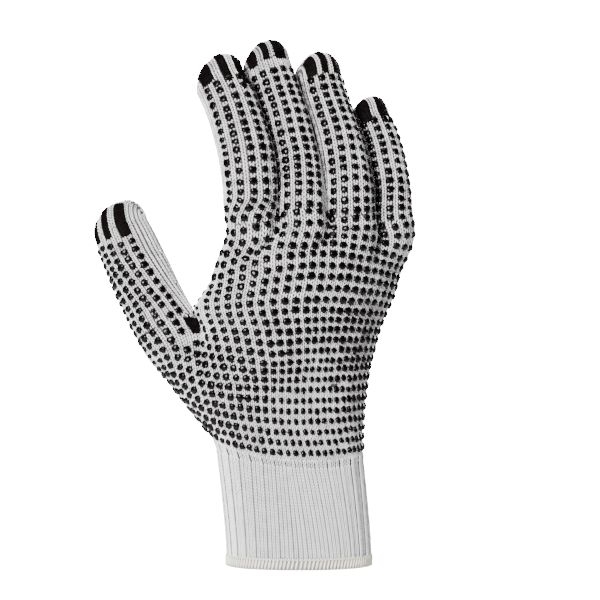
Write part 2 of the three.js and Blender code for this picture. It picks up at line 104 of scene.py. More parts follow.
LIMBS = {
    "thumb": Limb(THUMB_FOLD, INDEX_FOLD, pitch=11, slant=-0.4, tip=[-88.5, 14, 172], dome=4.4, rows=[
        [5.5, -47, 0, 83, 13.5, 12.5, -8],
        [10, -56.5, 2, 99.5, 14.3, 13.4, -14],
        [13.5, -64, 4, 114, 14.6, 13, -18],
        [17, -70.5, 6, 127, 14.4, 12.6, -20],
        [20, -76.5, 8, 140, 14.1, 12.3, -20],
        [23.5, -82.5, 10, 153, 13.6, 12, -20],
        [25, -85.5, 11, 159.5, 13, 11.6, -20],
    ]),
    "index": Limb(INDEX_FOLD, MIDDLE_FORK, pitch=14, slant=-1, tip=[-39, 9, 241.5], dome=4.1, rows=[
        [18, -26, -6, 139, 13, 13, -4],
        [22, -22, -9.5, 155, 11.6, 12, -4],
        [25, -22.8, -11, 170.5, 12.3, 12.3, -2],
        [27, -23, -11.5, 178.5, 12.5, 12.5, -2],
        [29.5, -24.5, -10.5, 192, 12.8, 12.6, -2],
        [32.5, -27.5, -7.5, 204, 12.5, 12.4, -2],
        [34.5, -30.5, -4, 213, 12.2, 12.2, -2],
        [36, -33.5, -0.5, 221, 12.1, 12, -2],
        [38, -37.5, 3, 229, 11.8, 11.7, -2],
    ]),
    "middle": Limb(MIDDLE_FORK, RING_FORK, pitch=13, slant=-0.35, tip=[-16.5, 20, 250], dome=4, rows=[
        [18, -2.5, -6, 141, 13, 13, 4],
        [21, 2, -7, 155, 11.6, 12, 8],
        [24, 1, -6, 168.5, 11.6, 12, 12],
        [26, 0.3, -3.5, 177.7, 11.6, 11.8, 14],
        [29, -1.6, 0, 190, 11.6, 11.8, 16],
        [31.5, -4.3, 3.5, 201, 11.5, 11.6, 17],
        [34, -7.2, 7.5, 213, 11.4, 11.5, 17],
        [37, -11, 11.5, 225, 11.3, 11.3, 17],
        [40, -15.4, 16, 238, 11.1, 11.1, 17],
    ]),
    "ring": Limb(RING_FORK, LITTLE_FORK, pitch=13.4, slant=0, tip=[8.3, 28, 245.5], dome=4, rows=[
        [18, 25, 2, 141, 13, 13, 14],
        [21, 26, 1, 155, 11.2, 11.6, 18],
        [24, 24.6, 0.5, 167.5, 11.2, 11.4, 22],
        [26.5, 23.6, 2, 178, 11.4, 11.8, 24],
        [29, 21.6, 6, 189, 11.5, 11.7, 28],
        [31.5, 18.5, 11, 201.5, 11.3, 11.5, 30],
        [34, 15, 15.5, 212.5, 11.2, 11.3, 30],
        [36.5, 11.7, 19.5, 223, 11.1, 11.1, 30],
        [38.5, 9.3, 23, 233, 10.9, 10.9, 30],
    ]),
    "little": Limb(LITTLE_FORK, LITTLE_FOLD, pitch=16, slant=0, tip=[33, 34, 224], dome=3.5, rows=[
        [18, 44, 14, 140, 11, 12, 24],
        [21, 47, 12.5, 153, 9.6, 10, 28],
        [24.5, 44.9, 12.5, 166.5, 9.6, 9.8, 26],
        [27, 44, 15, 176.5, 9.8, 9.9, 23],
        [29.5, 42.2, 19, 188, 9.9, 10, 20],
        [32, 40, 24, 199, 9.9, 9.9, 20],
        [34, 37.2, 27.5, 207.5, 9.8, 9.8, 20],
        [35.3, 34.6, 30, 213.5, 9.8, 9.7, 20],
    ]),
}
FINGERS = ["index", "middle", "ring", "little"]
NODES = {name: name if name == "thumb" else name + "_finger" for name in LIMBS}


def ease(start, end, v):
    t = np.clip((v - start) / (end - start), 0, 1)
    return t * t * (3 - 2 * t)


def mix(a, b, t):
    return a + (b - a) * t


def unit(p):
    return p / np.maximum(np.linalg.norm(p, axis=-1, keepdims=True), 1e-9)


def along(rows, v):
    """Every column of a table at row v: smooth between its rows, straight beyond them."""
    last = len(rows) - 1
    i = 0
    while i < last - 1 and v > rows[i + 1, 0]:
        i += 1
    a, b = rows[i], rows[i + 1]
    step = b[0] - a[0]
    t = (v - a[0]) / step

    def slope(j):
        p, q = rows[max(0, j - 1)], rows[min(last, j + 1)]
        return (q - p) / (q[0] - p[0]) * step

    leave, arrive = slope(i), slope(i + 1)
    if t < 0:
        return a + leave * t
    if t > 1:
        return b + arrive * (t - 1)
    near, far = (1 - t) ** 2, t * t
    return a * (1 + 2 * t) * near + leave * t * near + b * far * (3 - 2 * t) + arrive * far * (t - 1)


SAMPLES = 160


def flat_points(rows, first, last, u, g, v):
    """Points of a flat oval sleeve, spaced evenly along its front and back panels."""
    s = along(rows, v)
    left, right = s[1:4], s[4:7]
    arch, thick, lift, square = s[7:]
    a = np.linspace(0, math.pi, SAMPLES + 1)
    c = np.cos(a)
    x = -np.sign(c) * np.abs(c) ** (2 / square)
    out = np.maximum(0, np.sin(a)) ** (2 / square)
    rise = 1 - x * x
    points = np.empty((len(u), 3))
    t = np.clip((u - first) / (last - first), 0, 1)
    for chosen, side in ((g <= 0.5, -1), (g > 0.5, 1)):
        path = mix(left, right, (1 + x[:, None]) / 2)
        path[:, 1] += -arch * rise
        path[:, 1] += side * thick * out
        path[:, 2] += lift * rise
        walked = np.concatenate([[0], np.cumsum(np.linalg.norm(np.diff(path, axis=0), axis=1))])
        for axis in range(3):
            points[chosen, axis] = np.interp(t[chosen] * walked[-1], walked, path[:, axis])
    return points


def limb_axes(limb, v):
    """A round limb at row v: centre, (half width, half depth, turn), right and front."""
    v = min(v, limb.top)
    s = along(limb.rows, v)
    before, after = along(limb.rows, v - 0.5), along(limb.rows, min(v + 0.5, limb.top))
    axis = unit(after[1:4] - before[1:4])
    right = unit(np.array([1.0, 0, 0]) - axis * axis[0])
    return s[1:4], s[4:7], right, np.cross(right, axis)


def limb_angle(limb, turn, u, g):
    """How far round a limb a place lies, from its front to the right."""
    middle = (limb.first + limb.last) / 2
    turned = (u - middle) * limb.pitch
    wrapped = np.where(u > middle, 180 - turned, -180 - turned)
    return np.radians(turn + mix(turned, wrapped, g))


def limb_points(limb, u, g, v):
    """Points of a round limb, its wales running to the tip over the dome."""
    centre, (wide, deep, turn), right, front = limb_axes(limb, v)
    rise = min(1, max(0, (v - limb.top) / limb.dome)) * math.pi / 2
    angle = limb_angle(limb, turn, u, g)[:, None]
    centre = mix(centre, limb.tip, math.sin(rise))
    shrink = math.cos(rise)
    return (centre + right * wide * shrink * np.sin(angle)
            + front * deep * shrink * np.cos(angle))


def cap_points(limb, u, g, rise):
    """Points of the same dome, its wales side by side as a flat knitted tip has them.
    rise goes from 0 at the dome's foot to a quarter turn where front meets back."""
    centre, (wide, deep, turn), right, front = limb_axes(limb, limb.top)
    angle = limb_angle(limb, turn, u + limb.slant * rise, g)
    cos, sin = math.cos(math.radians(turn)), math.sin(math.radians(turn))
    x, y = wide * np.sin(angle), deep * np.cos(angle)
    sideways, forwards = x * cos - y * sin, x * sin + y * cos
    reach = wide * sin ** 2 + deep * cos ** 2
    flat = forwards * np.cos(rise)
    climbed = np.abs(forwards) / reach * np.sin(rise)
    return (centre + (limb.tip - centre) * climbed[:, None]
            + right * (sideways * cos + flat * sin)[:, None]
            + front * (flat * cos - sideways * sin)[:, None])


def forked(sleeve, limbs, start, row, blend, fade, rise):
    """One sleeve of knit that forks at a row: returns its own map and one for each limb
    above. From row start on it takes the limbs' form, which blend into each other over
    blend wales; their roots follow the fork over fade rows, and rise arches its webs."""

    def shared(u, g, v):
        base = sleeve(u, g, v)
        w = float(ease(start, row, v))
        if w == 0:
            return base
        shapes = [at(u, g, v) for _, _, at in limbs]
        ends = np.array([last for _, last, _ in limbs])
        which = np.minimum(np.searchsorted(ends, u), len(limbs) - 1)
        own = np.choose(which[:, None], shapes)
        for i, (first, last, _) in enumerate(limbs):
            for j, edge in ((i - 1, first), (i + 1, last)):
                if 0 <= j < len(limbs):
                    share = 0.5 * (1 - ease(0, blend, np.abs(u - edge))) * (which == i)
                    own = mix(own, shapes[j], share[:, None])
        return mix(base, own, w)

    def rim(u, g):
        points = shared(u, g, row)
        inner = np.zeros(len(u), bool)
        for first, _, _ in limbs[1:]:
            inner |= np.abs(u - first) < 1e-6
        web = inner & (g > 0) & (g < 1)
        if web.any():
            front = shared(u[web], np.zeros(web.sum()), row)
            back = shared(u[web], np.ones(web.sum()), row)
            k = g[web][:, None]
            high = rise * np.linalg.norm(back - front, axis=1, keepdims=True)
            points[web] = mix(front, back, k) + np.array([0, 0, 1.0]) * high * 4 * k * (1 - k)
        return points

    def branch(at):
        def points(u, g, v):
            own = at(u, g, v)
            left = max(0.0, 1 - (v - row) / fade) ** 2
            if left == 0:
                return own
            return own + (rim(u, g) - at(u, g, row)) * left
        return points

    return shared, [branch(at) for _, _, at in limbs]


def limb_map(name):
    return lambda u, g, v: limb_points(LIMBS[name], u, g, v)


hand_shared, finger_maps = forked(
    lambda u, g, v: flat_points(PALM, INDEX_FOLD, LITTLE_FOLD, u, g, v),
    [(LIMBS[n].first, LIMBS[n].last, limb_map(n)) for n in FINGERS],
    start=18, row=FINGER_ROW, blend=2.5, fade=4.5, rise=0.7,
)
lower_hand, (thumb_map, palm_map) = forked(
    lambda u, g, v: flat_points(BODY, THUMB_FOLD, LITTLE_FOLD, u, g, v),
    [(THUMB_FOLD, INDEX_FOLD, limb_map("thumb")), (INDEX_FOLD, LITTLE_FOLD, hand_shared)],
    start=6, row=THUMB_ROW, blend=3, fade=4, rise=0.2,
)
STALLS = {"thumb": thumb_map, **dict(zip(FINGERS, finger_maps))}


def cuff_oval(turn, height):
    """The cuff from its oval foot to the hand's lowest row; turn runs 0..1 over the
    front and 1..2 over the back."""
    back = turn > 1
    t = np.where(back, 2 - turn, turn)
    c = np.cos(math.pi * t)
    x = -np.sign(c) * np.abs(c) ** (2 / CUFF_SQUARE)
    out = np.maximum(0, np.sin(math.pi * t)) ** (2 / CUFF_SQUARE)
    u = mix(THUMB_FOLD, LITTLE_FOLD, t)
    head = lower_hand(u, np.where(back, 1.0, 0.0), FIRST_ROW) - np.array([0, 0, CUFF_GAP])
    k = max(height, 0) ** CUFF_RISE
    return np.stack([
        mix(CUFF_HALF_WIDE * x, head[:, 0], k),
        mix(np.where(back, 1, -1) * CUFF_HALF_DEEP * out, head[:, 1], k),
        mix(CUFF_BOTTOM, head[:, 2], height),
    ], axis=1)


CUFF_TURNS = np.linspace(0, 2, 721)
CUFF_STEPS = np.linalg.norm(np.diff(cuff_oval(CUFF_TURNS, 0.5), axis=0), axis=1)
CUFF_WALKED = np.concatenate([[0], np.cumsum(CUFF_STEPS)]) * 2 / CUFF_STEPS.sum()


def even(turn):
    """The turn that lies as far round the cuff's wall as this one would on a circle."""
    return np.interp(np.mod(turn, 2), CUFF_WALKED, CUFF_TURNS)


def cuff_points(turn, height):
    return cuff_oval(even(turn), height)


# Finishes
class Paint:
    """A socket of a material; arithmetic on it adds Math nodes."""

    def __init__(self, tree, socket=None):
        self.tree, self.socket = tree, socket

    def make(self, kind, settings=None, inputs=None, output=0):
        node = self.tree.nodes.new(kind)
        for name, value in (settings or {}).items():
            setattr(node, name, value)
        for name, value in (inputs or {}).items():
            if isinstance(value, Paint):
                self.tree.links.new(value.socket, node.inputs[name])
            else:
                node.inputs[name].default_value = value
        return Paint(self.tree, node.outputs[output])

    def math(self, operation, a, b):
        return self.make("ShaderNodeMath", {"operation": operation}, {0: a, 1: b})

    def __add__(self, other):
        return self.math("ADD", self, other)

    __radd__ = __add__

    def __mul__(self, other):
        return self.math("MULTIPLY", self, other)

    __rmul__ = __mul__

    def between(self, low, high):
        """0 at low and under it, 1 at high and over it."""
        return self.make("ShaderNodeMapRange", {"clamp": True}, {
            "Value": self, "From Min": low, "From Max": high})


# Shares of lumps and fibres in a finish's colour, the part of their noise over which the
# colour changes, and how rough that noise is
LUMP_SHARE, FIBRE_SHARE = 0.65, 0.35
NOISE_LOW, NOISE_HIGH, NOISE_ROUGH = 0.35, 0.65, 0.6


def finish_of(name, constants, colours, fibre, lumps, bump, depth):
    """A material: its colour drifts between the given ones over lumps of one size, and
    fibres of another size roughen it. Sizes are in mm."""
    material = bpy.data.materials.new(name)
    material.use_nodes = True
    tree = material.node_tree
    shader = tree.nodes["Principled BSDF"]
    for socket, value in constants.items():
        shader.inputs[socket].default_value = value
    start = Paint(tree)
    place = start.make("ShaderNodeTexCoord", output="Object")

    def noise(size, detail):
        return start.make("ShaderNodeTexNoise", None, {
            "Vector": place, "Scale": 1 / (size * MM), "Detail": detail, "Roughness": NOISE_ROUGH})

    drift = LUMP_SHARE * noise(lumps, 2) + FIBRE_SHARE * noise(fibre * 2, 1)
    colour = start.make("ShaderNodeMix", {"data_type": "RGBA"}, {
        "Factor": drift.between(NOISE_LOW, NOISE_HIGH),
        "A": (*colours[0], 1), "B": (*colours[1], 1)}, "Result")
    tree.links.new(colour.socket, shader.inputs["Base Color"])
    relief = start.make("ShaderNodeBump", None, {
        "Strength": bump, "Distance": depth * MM, "Height": noise(fibre, 2)})
    tree.links.new(relief.socket, shader.inputs["Normal"])
    return material


COTTON = {"Roughness": 0.95, "Specular IOR Level": 0.1}
WET_VINYL = {"Roughness": 0.16, "Specular IOR Level": 0.12}
MATT_VINYL = {"Roughness": 0.5, "Specular IOR Level": 0.02}
knit_yarn = finish_of(
    "knit_yarn", COTTON, [(0.50, 0.48, 0.485), (0.94, 0.93, 0.945)],
    fibre=0.5, lumps=5, bump=0.9, depth=0.3)
# The cloth under the stitches is painted shade: its dark colour stands for the shade in the gaps between
# the yarns.
knit_painted_shade = finish_of(
    "knit_painted_shade", COTTON, [(0.045, 0.04, 0.04), (0.09, 0.082, 0.08)],
    fibre=0.6, lumps=9, bump=0.5, depth=0.3)
cuff_yarn = finish_of(
    "cuff_yarn", COTTON, [(0.74, 0.745, 0.745), (0.90, 0.90, 0.895)],
    fibre=0.5, lumps=5, bump=0.7, depth=0.3)
# The cuff's cloth under its stitches and the hem's under its threads are painted shade: dark for the
# shade in the gaps.
cuff_painted_shade = finish_of(
    "cuff_painted_shade", COTTON, [(0.14, 0.14, 0.14), (0.22, 0.22, 0.215)],
    fibre=0.6, lumps=9, bump=0.5, depth=0.3)
hem_yarn = finish_of(
    "hem_yarn", COTTON, [(0.68, 0.645, 0.54), (0.80, 0.775, 0.67)],
    fibre=0.5, lumps=6, bump=0.5, depth=0.25)
dot_vinyl = finish_of(
    "dot_vinyl", WET_VINYL, [(0.0006, 0.0004, 0.0004), (0.0016, 0.0011, 0.0011)],
    fibre=1.1, lumps=5, bump=0.3, depth=0.3)
bar_vinyl = finish_of(
    "bar_vinyl", MATT_VINYL, [(0.0005, 0.0003, 0.0003), (0.004, 0.0027, 0.0026)],
    fibre=0.7, lumps=1.2, bump=0.7, depth=0.3)


# Pieces
def finished(name, mesh, material, slot, *nodes):
    """The object of a mesh. With nodes it takes the place of those solids."""
    mesh.materials.append(material)
    piece = bpy.data.objects.new(name, mesh)
    bpy.context.scene.collection.objects.link(piece)
    mesh.shade_smooth()
    if nodes:
        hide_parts(*nodes)
    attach(piece, "root")
    return piece


WELD = 0.02 * MM
CLOTH_THICK = 1.3


def cloth(name, sheets, thick, material, slot, *nodes):
    """Sheets of points, rows upwards and columns to the right seen from outside, made
    into one welded cloth that Solidify gives its thickness inwards."""
    bm = bmesh.new()
    for sheet in sheets:
        rows, columns = sheet.shape[:2]
        grid = bmesh.ops.create_grid(bm, x_segments=columns - 1, y_segments=rows - 1, size=1)
        for vert, point in zip(grid["verts"], sheet.reshape(-1, 3) * MM):
            vert.co = point
    bmesh.ops.remove_doubles(bm, verts=bm.verts, dist=WELD)
    mesh = bpy.data.meshes.new(name)
    bm.to_mesh(mesh)
    bm.free()
    piece = finished(name, mesh, material, slot, *nodes)
    if thick:
        wall = piece.modifiers.new("wall", "SOLIDIFY")
        wall.thickness = thick * MM
        wall.offset = -1


def shape_arrays(bm):
    """Corners and triangles of a small closed shape."""
    bmesh.ops.triangulate(bm, faces=bm.faces)
    bm.verts.ensure_lookup_table()
    corners = np.array([v.co[:] for v in bm.verts])
    faces = np.array([[v.index for v in f.verts] for f in bm.faces])
    bm.free()
    return corners, faces


def many(name, shapes, which, places, material, slot, *nodes):
    """Copies of small shapes joined into one mesh. places holds, for each copy, its
    point and the three directions that the shape's own axes take, in mm."""
    corner_lists, face_lists, offset = [], [], 0
    for k, (corners, faces) in enumerate(shapes):
        point, *axes = [p[which == k] for p in places]
        copies = point[:, None, :] + sum(
            corners[None, :, i, None] * axes[i][:, None, :] for i in range(3))
        firsts = offset + np.arange(len(copies)) * len(corners)
        face_lists.append((faces[None] + firsts[:, None, None]).reshape(-1, 3))
        corner_lists.append(copies.reshape(-1, 3))
        offset += len(copies) * len(corners)
    corners = np.concatenate(corner_lists) * MM
    faces = np.concatenate(face_lists)
    mesh = bpy.data.meshes.new(name)
    mesh.vertices.add(len(corners))
    mesh.vertices.foreach_set("co", corners.ravel())
    mesh.loops.add(faces.size)
    mesh.loops.foreach_set("vertex_index", faces.ravel().astype(np.int32))
    mesh.polygons.add(len(faces))
    mesh.polygons.foreach_set("loop_start", (np.arange(len(faces)) * 3).astype(np.int32))
    mesh.update(calc_edges=True)
    finished(name, mesh, material, slot, *nodes)


def joined(parts):
    """One set of places from many."""
    return [np.concatenate(p) for p in zip(*parts)]


# A stitch's leg: its half sizes, in wales across, in courses up and in mm deep; how far
# its middle lies off the stitch's, up and out; and how far it leans in and dips from its
# middle to its head
LEG_FAT, LEG_LONG, LEG_DEEP = 0.165, 0.74, 0.46
LEG_OFF, LEG_UP, LEG_LIFT = 0.24, 0.04, 0.16
LEG_LEAN, LEG_DIP = 0.17, 0.12


def stitch_leg(side):
    """Half a stitch: a bulging length of yarn that leans towards the wale's middle."""
    bm = bmesh.new()
    bmesh.ops.create_uvsphere(bm, u_segments=4, v_segments=3, radius=1)
    corners, faces = shape_arrays(bm)
    thick, deep, long = corners.T
    made = np.stack([
        side * (LEG_OFF - LEG_LEAN * long) + LEG_FAT * thick,
        LEG_LONG * long + LEG_UP,
        LEG_DEEP * deep + LEG_LIFT - LEG_DIP * long,
    ], axis=1)
    return made, faces


LEGS = [stitch_leg(-1), stitch_leg(1)]


def outward(across, up):
    return unit(np.cross(across, up))


class Skin:
    """A map read off a fine grid of rows, wales and wrap, so that places at different
    rows can be asked for at once."""

    STEPS = (0.25, 0.5, 1 / 6)
    INSIDE = 1.0001  # keeps a place on the grid's last line inside its last cell

    def __init__(self, at, first, last, low, high):
        self.starts = (low, first, 0)
        rows, wales, wraps = (
            start + step * np.arange(round((end - start) / step) + 1)
            for start, step, end in zip(self.starts, self.STEPS, (high, last, 1)))
        u, g = (a.ravel() for a in np.meshgrid(wales, wraps, indexing="ij"))
        self.points = np.stack([at(u, g, v).reshape(len(wales), len(wraps), 3) for v in rows])

    def __call__(self, u, g, v):
        cells, parts = [], []
        for value, start, step, count in zip((v, u, g), self.starts, self.STEPS, self.points.shape):
            spot = np.clip((value - start) / step, 0, count - self.INSIDE)
            cells.append(spot.astype(int))
            parts.append((spot - cells[-1])[:, None])
        total = 0
        for i, j, k in itertools.product((0, 1), repeat=3):
            share = 1
            for corner, part in zip((i, j, k), parts):
                share = share * (part if corner else 1 - part)
            total = total + share * self.points[cells[0] + i, cells[1] + j, cells[2] + k]
        return total


class Knit:
    """The wales round one sleeve, counted from its front's first fold over the front,
    the far fold and the back. drift says how far the knit of the front has moved on
    the sleeve, in wales and rows; on the back that dies out over FADE wales. dotted is
    the front's first and last dotted wale, and cord how wide its stitches are; the
    wales down the sides, where no dots are, are narrow cords that stand apart."""

    FADE = 9
    # The narrower side cords leave wider gaps, where more of the painted shade of the cloth beneath
    # shows.
    SIDE_CORD = 0.6
    ROOM = 2  # rows that its skin goes on below and above
    ROW_STEP = 0.1

    def __init__(self, at, first, last, low, high, drift, spacing, dotted, cord):
        self.skin = Skin(at, first, last, low - self.ROOM, high + self.ROOM)
        self.first, self.last, self.drift, self.spacing = first, last, drift, spacing
        self.low, self.high, self.dotted, self.cord = low, high, dotted, cord

    def sides(self, v):
        """Extra wales down the far and the near side, where front and back stand apart."""
        edge = np.array([self.last, self.last, self.first, self.first], float)
        ends = self.skin(edge, np.array([0.0, 1, 0, 1]), np.full(4, float(v)))
        gaps = np.linalg.norm(ends[1::2] - ends[::2], axis=1)
        return np.rint(gaps / self.spacing)

    def spots(self, n, v, sides=None):
        """Wale, wrap and row on the sleeve for wales n of row v."""
        right, left = self.sides(v) if sides is None else sides
        whole = self.last - self.first
        total = 2 * whole + right + left
        k = np.mod(n - self.first, total)
        edge_far = self.drift(np.array([float(self.last)]), v)
        edge_near = self.drift(np.array([float(self.first)]), v)
        far = np.clip(1 - (k - whole) / self.FADE, 0, 1)
        near = np.clip(1 - (total - k) / self.FADE, 0, 1)
        own_drift = self.drift(self.first + np.minimum(k, whole), v)
        moved = [
            np.where(k <= whole, own, a * far + b * near)
            for own, a, b in zip(own_drift, edge_far, edge_near)]
        s = np.mod(k + moved[0], total)
        on_front, on_far = s <= whole, s < whole + right
        on_back = s <= 2 * whole + right
        parts = [on_front, on_far, on_back]
        u = np.select(parts, [s, whole + 0 * s, 2 * whole + right - s], 0.0)
        g = np.select(
            parts, [0 * s, (s - whole) / max(right, 1), 1 + 0 * s], (total - s) / max(left, 1))
        return self.first + u, g, v + moved[1]

    def frames(self, n, v, high=1):
        """Points of wales n at row v, with one wale's way across and the way up."""
        sides = self.sides(v)

        def at(n, v):
            return self.skin(*self.spots(n, v, sides))

        across = at(n + 0.5, v) - at(n - 0.5, v)
        up = (at(n, v + self.ROW_STEP) - at(n, v - self.ROW_STEP)) / (2 * self.ROW_STEP)
        return at(n, v), across, up * high

    def course(self, v, high):
        """The stitches of one course that lie on this piece."""
        right, left = self.sides(v)
        n = self.first + np.arange(2 * (self.last - self.first) + right + left)
        row = self.spots(n, v)[2]
        here = (row >= self.low) & (row < self.high)
        n = n[here]
        point, across, up = self.frames(n, v, high)
        first, last = self.dotted
        bare = (n < first - 1) | (n > self.back(first, v) + 1)
        bare |= (n > last + 1) & (n < self.back(last, v) - 1)
        return point, across * np.where(bare, self.SIDE_CORD, self.cord)[:, None], up

    def back(self, u, v):
        """The wale that lies behind wale u."""
        return 2 * self.last + self.sides(v)[0] - u


# Play of the yarn, as a share of a stitch, and how much more of it there is in the lift
YARN_PLAY, LIFT_PLAY = 0.03, 1.2


def stitched(places):
    """Both legs for each place (point, across, up), with a little play in the yarn."""
    here, across, up = places
    count = len(here)
    normal = outward(across, up)
    play = seeded.normal(0, YARN_PLAY, (count, 4))
    across = across * (1 + play[:, :1])
    up = up * (1 + play[:, 1:2]) + across * play[:, 2:3]
    here = here + normal * play[:, 3:4] * LIFT_PLAY
    both = [np.concatenate([p, p]) for p in (here, across, up, normal)]
    return np.repeat([0, 1], count), both


def knit_piece(name, places, material, slot, *nodes):
    """The stitches at the places, as one piece."""
    which, frames = stitched(places)
    many(name, LEGS, which, frames, material, slot, *nodes)


# The printed bars: limb, first and last wale, and how low and high they reach in rise,
# the angle climbed on the dome; below 0 it goes on down the limb
BARS = [
    ("index", 1.9, 4.4, -0.25, 1.2), ("index", 5.8, 7.2, -0.47, 1.25), ("index", 8.5, 10.9, -0.65, 1),
    ("middle", 11.2, 13.4, -0.17, 1.2), ("middle", 14.5, 15.8, -0.08, 1.25),
    ("middle", 16.7, 19.3, -0.12, 1.1),
    ("ring", 23.4, 25.5, -0.18, 1.1), ("ring", 26.5, 27.7, -0.15, 1.2), ("ring", 28.7, 31.6, -0.12, 1.1),
    ("little", 35.4, 37.8, -0.33, 1.05), ("little", 39, 41.3, -0.5, 1),
    ("thumb", -13.2, -11.1, -0.22, 1.05), ("thumb", -9.7, -8.2, -0.29, 1.2),
    ("thumb", -6.8, -4.6, -0.47, 1.1),
]
RISE_PER_ROW = 0.36  # below a dome, where rise counts rows down the limb


def tip_points(name, u, g, rise):
    """Points of a stall's end by rise."""
    limb = LIMBS[name]
    down = np.minimum(rise, 0) / RISE_PER_ROW
    below = STALL_KNITS[name].skin(u, g, limb.top + down)
    return np.where((rise > 0)[:, None], cap_points(limb, u, g, np.maximum(rise, 0)), below)


# A course is a third of a row of dots, and a stitch of it is about LONG_STITCH mm high
COURSE = 1 / 3
LONG_STITCH = 1.6


# Knitted skins under the stitches, in painted shade where they show between them
def ring_of(first, last, stops, sides=4):
    """Wales and wraps once round a sleeve: front, far side, back and near side."""
    wales = np.linspace(first, last, stops + 1)
    across = np.linspace(0, 1, sides + 1)[1:-1]
    far, near = np.full(len(across), last), np.full(len(across), first)
    u = np.concatenate([wales, far, wales[::-1], near, [first]])
    g = np.concatenate([0 * wales, across, 0 * wales + 1, across[::-1], [0]])
    return u, g


def sheet_of(at, ring, rows):
    return np.stack([at(*ring, v) for v in rows])


BODY_RING = ring_of(THUMB_FOLD, LITTLE_FOLD, LITTLE_FOLD - THUMB_FOLD)
PALM_RING = ring_of(INDEX_FOLD, LITTLE_FOLD, LITTLE_FOLD - INDEX_FOLD)
STALL_RINGS = {n: ring_of(l.first, l.last, l.last - l.first) for n, l in LIMBS.items()}
FEET = {n: THUMB_ROW if n == "thumb" else FINGER_ROW for n in LIMBS}
DOME_STOPS = np.array([0.12, 0.25, 0.38, 0.5, 0.62, 0.74, 0.85, 0.94, 1])
hand_sheets = [
    sheet_of(lower_hand, BODY_RING, np.linspace(FIRST_ROW, THUMB_ROW, 29)),
    sheet_of(palm_map, PALM_RING, np.linspace(THUMB_ROW, FINGER_ROW, 22)),
]
for n in LIMBS:
    hand_sheets.append(sheet_of(STALLS[n], STALL_RINGS[n], np.linspace(FEET[n], FEET[n] + STUB, 3)))
# The hand's cloth under its stitches, in painted shade.
cloth("hand_cloth", hand_sheets, CLOTH_THICK, knit_painted_shade, "knit", "hand_body")
for n, limb in LIMBS.items():
    foot = FEET[n] + STUB
    rows = np.concatenate([
        np.linspace(foot, limb.top, int((limb.top - foot) * 2) + 1),
        limb.top + limb.dome * DOME_STOPS,
    ])
    sheet = sheet_of(STALLS[n], STALL_RINGS[n], rows)
    cloth(n + "_cloth", [sheet], CLOTH_THICK, knit_painted_shade, "knit", NODES[n])

# How far the worn knit has moved on the plain map: at these rows and wales of the front,
# wales to the right and rows up
DRIFT_ROWS = [0, 3, 6, 9, 12, 15, 18, 21, 23.5]
DRIFT_WALES = [-10, -4, 4, 12, 20, 28, 36]
RIGHTWARDS = np.array([
    [0, 0, 0.3, 0.7, 0.7, 0.3, 0],
    [0.8, 1.6, 2, 1.7, 0.7, -0.2, -0.4],
    [1.6, 2.8, 3.4, 3, 1.6, 0, -0.9],
    [1.4, 2.2, 3.2, 3.8, 2.7, 0.6, -0.1],
    [0.8, 1.7, 3, 3.4, 2.9, 1.1, 0.4],
    [0, 1.2, 2.7, 2.4, 2.4, 1.3, 0.9],
    [0, 0, 1, 1.4, 1.2, 0.6, 0.1],
    [0, 0, -1, -0.9, -0.6, -0.9, -0.4],
    [0, 0, -1.6, -1.8, -1.1, -0.9, -0.8],
])
UPWARDS = np.array([
    [1.2, 0.5, 0.5, 0.5, 0.5, 0.5, 0.5],
    [1.3, 0.7, 0.6, 0.5, 0.5, 0.4, 0.3],
    [1.5, 0.6, 0.5, 0.4, 0.3, 0.2, 0.1],
    [1.8, 0.3, 0.1, -0.3, 0, 0, 0],
    [1.9, 0.2, -0.1, -0.4, -0.1, 0.1, 0.1],
    [1.8, 0, -0.6, -0.4, -0.1, 0.1, 0.2],
    [0, 0, -0.7, -0.3, -0.1, -0.1, -0.1],
    [0, 0, -0.4, 0.1, 0.1, 0, -0.1],
    [0, 0, -0.3, 0.6, 0.3, 0.2, 0],
])


def hand_drift(u, v):
    by_wale = [
        [np.interp(v, DRIFT_ROWS, column) for column in table.T] for table in (RIGHTWARDS, UPWARDS)]
    return [np.interp(u, DRIFT_WALES, values) for values in by_wale]


# Each stall: wales right at its foot and at its end, rows over which that changes,
# rows up for each row
STALL_DRIFT = {
    "thumb": (0.9, -1.3, 9, 0), "index": (-1.4, 0.3, 3, -0.14), "middle": (-0.9, -0.4, 8, -0.035),
    "ring": (-0.7, 0, 12, -0.02), "little": (-1.2, -0.3, 6, -0.06),
}
# The thumb's rows tilt too: how much of the tilt each wale has, the rows that it lifts
# them at the thumb's foot, and what it loses with each row
TILT_WALES, TILT_SHARES = [-10, -6, -4], [1, 0.12, -0.1]
TILT_AT_FOOT, TILT_LOSS = 1.9, 0.12


def stall_drift(name, foot):
    start, end, reach, gain = STALL_DRIFT[name]

    def drift(u, v):
        right = mix(start, end, ease(foot, foot + reach, v)) + 0 * u
        rows = gain * (v - foot) + 0 * u
        if name == "thumb":
            tilt = TILT_AT_FOOT - TILT_LOSS * (v - foot)
            rows = rows + np.interp(u, TILT_WALES, TILT_SHARES) * tilt
        return right, rows
    return drift


# First and last dotted wale and row of each stall
DOT_ENDS = {
    "thumb": (-14, -4, 14, 23), "index": (2, 10, 24, 39), "middle": (12, 20, 24, 39),
    "ring": (24, 32, 24, 38), "little": (36, 42, 24, 35),
}
# Row where the hand's own stitches start over those of the join, and row that parts the
# low piece from the middle one
JOIN_HIGH, HALF_ROW = FIRST_ROW + 0.75, 6.5
SIDE_SPACING_HAND, SIDE_SPACING_STALL = 2.4, 2.6
STALL_CORD = 0.94
EVERY_WALE = (-99, 99)


def hand_knit(at, first, low, high):
    return Knit(at, first, LITTLE_FOLD, low, high, hand_drift, SIDE_SPACING_HAND, EVERY_WALE, 1)


